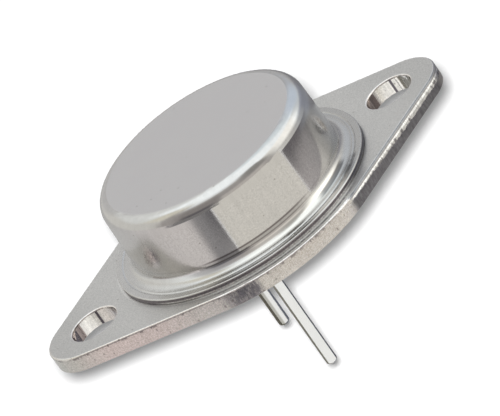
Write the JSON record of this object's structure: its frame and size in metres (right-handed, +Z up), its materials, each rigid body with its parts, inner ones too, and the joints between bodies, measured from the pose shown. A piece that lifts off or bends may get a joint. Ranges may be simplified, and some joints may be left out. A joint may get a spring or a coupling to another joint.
{
  "type": "power transistor",
  "caption": "Power transistor in a welded metal can on an oval mounting flange, with glass-sealed leads below; switches or amplifies large currents.",
  "frame": {"origin": "centre of the flange's flat underside, midway between the two mounting holes", "axes": "+X along the line of the mounting holes, towards the end away from the row of leads; +Z up through the cap, so the leads point along -Z; the base lead is at -Y and the emitter lead at +Y"},
  "size_m": [0.0388, 0.025, 0.02],
  "materials": {
    "flange_steel": "nickel-plated steel, satin top, sheared edge with dark pits",
    "cap_nickel": "nickel-plated drawn steel, satin crown, polished wall with fine upright grain",
    "lead_nickel": "bright nickel plate",
    "seal_glass": "dark grey-green sealing glass, glossy",
    "solder": "dull grey solder",
    "copper": "satin copper",
    "silicon": "dark polished silicon with an etched ledge",
    "bond_aluminium": "soft drawn aluminium wire"
  },
  "bodies": {
    "root": {"header_plate": "flange_steel", "cap": "cap_nickel", "base_lead": "lead_nickel", "emitter_lead": "lead_nickel", "base_seal": "seal_glass", "emitter_seal": "seal_glass", "spreader_braze": "solder", "heat_spreader": "copper", "die_solder": "solder", "silicon_die": "silicon", "base_wire": "bond_aluminium", "emitter_wire": "bond_aluminium"}
  },
  "joints": []
}
